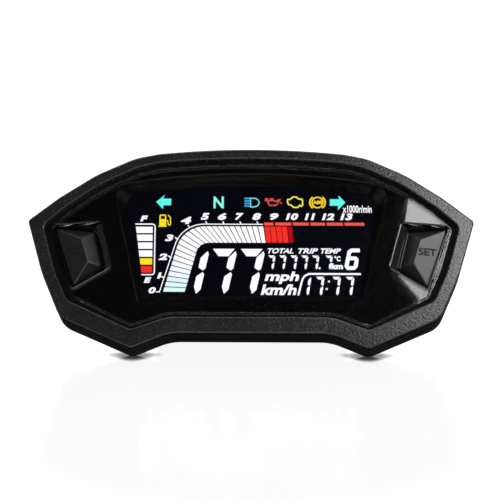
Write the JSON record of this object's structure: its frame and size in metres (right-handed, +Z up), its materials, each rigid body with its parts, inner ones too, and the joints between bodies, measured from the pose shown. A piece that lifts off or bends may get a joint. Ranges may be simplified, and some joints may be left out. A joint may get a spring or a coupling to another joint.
{
  "type": "motorcycle instrument cluster",
  "caption": "Handlebar instrument cluster with a faceted black case, a wide liquid crystal dial, two push buttons and a rear bracket mount.",
  "frame": {"origin": "on the floor, under the middle of the cluster's bounding box", "axes": "+Z up, the dial faces -Y and leans back 30 degrees, +X to the viewer's right"},
  "size_m": [0.2006, 0.0707, 0.0887],
  "materials": {
    "bezel_plastic": "fine spark-eroded grain, black",
    "housing_plastic": "fine spark-eroded grain, black",
    "lens_clear": "clear polycarbonate, hard-coated, gloss",
    "mask_plastic": "gloss black",
    "button_plastic": "satin black",
    "seal_rubber": "moulded silicone rubber, black",
    "isolator_rubber": "moulded rubber, black",
    "lcd_glass": "thin soda-lime glass",
    "polarizer_film": "near-black film",
    "diffuser_film": "white diffusing film",
    "guide_clear": "clear acrylic",
    "white_plastic": "white reflector plastic",
    "frame_plastic": "black",
    "circuit_board": "green solder mask",
    "chip_black": "moulded epoxy",
    "bright_metal": "tinned or drawn metal",
    "screw_steel": "dark zinc-plated steel",
    "contact_brass": "plated brass",
    "connector_plastic": "black glass-filled nylon"
  },
  "bodies": {
    "case": {"front_bezel": "bezel_plastic", "rear_housing": "housing_plastic", "lens": "lens_clear", "lens_seal": "seal_rubber", "housing_gasket": "seal_rubber", "dial_mask": "mask_plastic", "left_button_seal": "seal_rubber", "right_button_seal": "seal_rubber", "left_tact_switch": "chip_black", "right_tact_switch": "chip_black", "lcd_front_polarizer": "polarizer_film", "lcd_rear_polarizer": "polarizer_film", "lcd_front_glass": "lcd_glass", "lcd_rear_glass": "lcd_glass", "lcd_frame": "frame_plastic", "zebra_strip": "seal_rubber", "backlight_diffuser": "diffuser_film", "light_guide": "guide_clear", "reflector_tray": "white_plastic", "led_bar_left": "white_plastic", "led_bar_right": "white_plastic", "main_board": "circuit_board", "microcontroller": "chip_black", "voltage_regulator": "chip_black", "crystal": "bright_metal", "capacitor_1": "bright_metal", "capacitor_2": "bright_metal", "connector_shell": "connector_plastic", "connector_pins": "contact_brass", "connector_gasket": "seal_rubber", "vent_cap": "connector_plastic", "case_screw_1": "screw_steel", "case_screw_2": "screw_steel", "case_screw_3": "screw_steel", "case_screw_4": "screw_steel", "case_screw_5": "screw_steel", "case_screw_6": "screw_steel", "board_screw_1": "screw_steel", "board_screw_2": "screw_steel", "board_screw_3": "screw_steel", "board_screw_4": "screw_steel", "mount_insert_1": "contact_brass", "isolator_1": "isolator_rubber", "mount_insert_2": "contact_brass", "isolator_2": "isolator_rubber", "mount_insert_3": "contact_brass", "isolator_3": "isolator_rubber"},
    "mode_key": {"mode_button": "button_plastic"},
    "set_key": {"set_button": "button_plastic"},
    "mode_plunger": {"left_tact_plunger": "chip_black"},
    "set_plunger": {"right_tact_plunger": "chip_black"}
  },
  "joints": [
    {"name": "mode_press", "type": "slide", "parent": "case", "child": "mode_key", "axis": [0, 0.866, -0.5], "range_m": [0, 0.0008], "stiffness_N_per_m": 700, "springref_m": -0.003},
    {"name": "set_press", "type": "slide", "parent": "case", "child": "set_key", "axis": [0, 0.866, -0.5], "range_m": [0, 0.0008], "stiffness_N_per_m": 700, "springref_m": -0.003},
    {"name": "mode_plunger_press", "type": "slide", "parent": "case", "child": "mode_plunger", "axis": [0, 0.866, -0.5], "range_m": [0, 0.0008]},
    {"name": "set_plunger_press", "type": "slide", "parent": "case", "child": "set_plunger", "axis": [0, 0.866, -0.5], "range_m": [0, 0.0008]}
  ],
  "couplings": [
    {"joint": "mode_plunger_press", "follows": "mode_press", "ratio": 1},
    {"joint": "set_plunger_press", "follows": "set_press", "ratio": 1}
  ]
}
